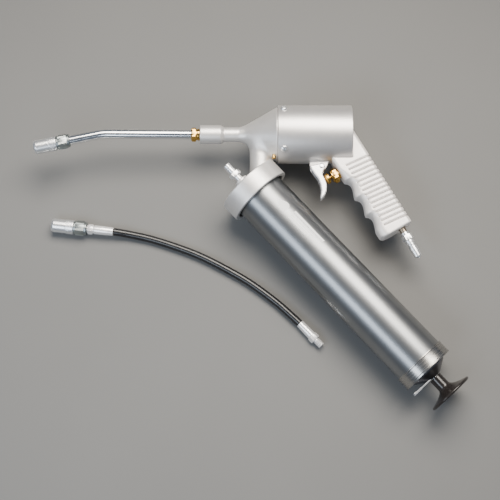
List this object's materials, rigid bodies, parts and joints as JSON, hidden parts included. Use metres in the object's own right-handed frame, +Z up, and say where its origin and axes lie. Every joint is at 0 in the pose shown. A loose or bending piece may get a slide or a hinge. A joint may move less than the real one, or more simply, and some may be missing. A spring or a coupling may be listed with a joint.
{
  "type": "grease gun",
  "caption": "Air operated pistol-grip grease gun lying on its side, with a slanted cartridge barrel, bent delivery pipe and coupler, and a loose flexible hose beside it.",
  "frame": {"origin": "centre of the bottom of the gun's box as it lies on its side, without the loose hose", "axes": "+X towards the gun's rear, along the air motor, +Y from the barrel towards the motor, +Z up from the bench"},
  "size_m": [0.4628, 0.3306, 0.0724],
  "materials": {
    "cast_alloy": "shot-blasted casting",
    "machined_alloy": "satin",
    "bright_plate": "bright zinc plate",
    "brass": "machined",
    "hard_steel": "ground",
    "barrel_metal": "metallic grey lacquer over steel",
    "black_gloss": "gloss",
    "black_rubber": "smooth with a soft shine"
  },
  "bodies": {
    "gun": {"head_casting": "cast_alloy", "motor_sleeve": "machined_alloy", "sleeve_screw_1": "bright_plate", "sleeve_screw_2": "bright_plate", "sleeve_screw_3": "bright_plate", "sleeve_screw_4": "bright_plate", "grip_casting": "cast_alloy", "plunger_bush": "brass", "return_spring": "hard_steel", "outlet_spring": "hard_steel", "outlet_adapter": "brass", "delivery_pipe": "bright_plate", "coupler_body": "bright_plate", "coupler_seal": "black_rubber", "coupler_jaws": "hard_steel", "trigger_pin": "bright_plate", "valve_nut": "brass", "valve_spring": "hard_steel", "air_inlet_bush": "brass", "air_inlet_plug": "bright_plate", "filler_nipple": "bright_plate", "vent_plug": "brass", "barrel_gasket": "black_rubber"},
    "motor_piston": {"air_piston": "machined_alloy", "piston_seal": "black_rubber", "plunger": "hard_steel"},
    "trigger_lever": {"trigger": "bright_plate"},
    "valve": {"valve_stem": "brass"},
    "outlet_check": {"outlet_check_ball": "hard_steel"},
    "filler_check": {"filler_check_ball": "hard_steel"},
    "coupler_nose": {"coupler_sleeve": "bright_plate"},
    "barrel": {"barrel_tube": "barrel_metal", "barrel_end_cap": "hard_steel", "follower_spring": "hard_steel"},
    "follower": {"follower_rod": "bright_plate", "follower_nut": "bright_plate", "follower_cup": "black_rubber", "follower_washer": "bright_plate", "follower_handle": "black_gloss"},
    "rod_lock": {"rod_lock_plate": "bright_plate"},
    "hose": {"hose_tube": "black_rubber", "hose_coupler_body": "bright_plate", "hose_coupler_seal": "black_rubber", "hose_coupler_jaws": "hard_steel", "hose_coupler_ferrule": "bright_plate", "hose_end_fitting": "bright_plate"},
    "hose_coupler_nose": {"hose_coupler_sleeve": "bright_plate"}
  },
  "joints": [
    {"name": "piston_stroke", "type": "slide", "parent": "gun", "child": "motor_piston", "axis": [-0.9992, 0, 0.0398], "range_m": [0, 0.026], "stiffness_N_per_m": 400, "springref_m": -0.02, "deforming": ["return_spring"]},
    {"name": "trigger_pull", "type": "hinge", "parent": "gun", "child": "trigger_lever", "pos_m": [0.08094, 0.09637, 0.03315], "axis": [0.0398, 0.0053, 0.9992], "range_deg": [0, 9], "stiffness_Nm_per_rad": 0.5, "springref_deg": -11.46},
    {"name": "valve_push", "type": "slide", "parent": "gun", "child": "valve", "axis": [0.9018, 0.4305, -0.0382], "range_m": [0, 0.0024], "deforming": ["valve_spring"]},
    {"name": "outlet_check_lift", "type": "slide", "parent": "gun", "child": "outlet_check", "axis": [-0.9992, 0, 0.0398], "range_m": [0, 0.002], "stiffness_N_per_m": 50, "springref_m": -0.004, "deforming": ["outlet_spring"]},
    {"name": "filler_check_lift", "type": "slide", "parent": "gun", "child": "filler_check", "axis": [0.6811, -0.7318, -0.0233], "range_m": [0, 0.002], "stiffness_N_per_m": 20, "springref_m": -0.004},
    {"name": "coupler_turn", "type": "hinge", "parent": "gun", "child": "coupler_nose", "pos_m": [-0.21139, 0.12277, 0.04465], "axis": [-0.977, -0.2096, 0.04], "range_deg": [-60, 60]},
    {"name": "barrel_removal", "type": "slide", "parent": "gun", "child": "barrel", "axis": [0.6811, -0.7318, -0.0233], "range_m": [0, 0.08]},
    {"name": "follower_draw", "type": "slide", "parent": "barrel", "child": "follower", "axis": [0.6811, -0.7318, -0.0233], "range_m": [0, 0.2], "stiffness_N_per_m": 150, "springref_m": -0.1, "deforming": ["follower_spring"]},
    {"name": "rod_lock_tilt", "type": "hinge", "parent": "barrel", "child": "rod_lock", "pos_m": [0.19986, -0.12479, 0.02958], "axis": [-0.0398, -0.0053, -0.9992], "range_deg": [0, 6], "stiffness_Nm_per_rad": 0.1, "springref_deg": -11.46},
    {"name": "hose_lift", "type": "slide", "parent": "gun", "child": "hose", "axis": [0, 0, 1], "range_m": [0, 0.12]},
    {"name": "hose_coupler_turn", "type": "hinge", "parent": "hose", "child": "hose_coupler_nose", "pos_m": [-0.19596, 0.03897, 0.008], "axis": [-0.993, 0.1184, 0], "range_deg": [-60, 60]}
  ],
  "couplings": [
    {"joint": "valve_push", "follows": "trigger_pull", "m_per_rad": 0.0148}
  ]
}
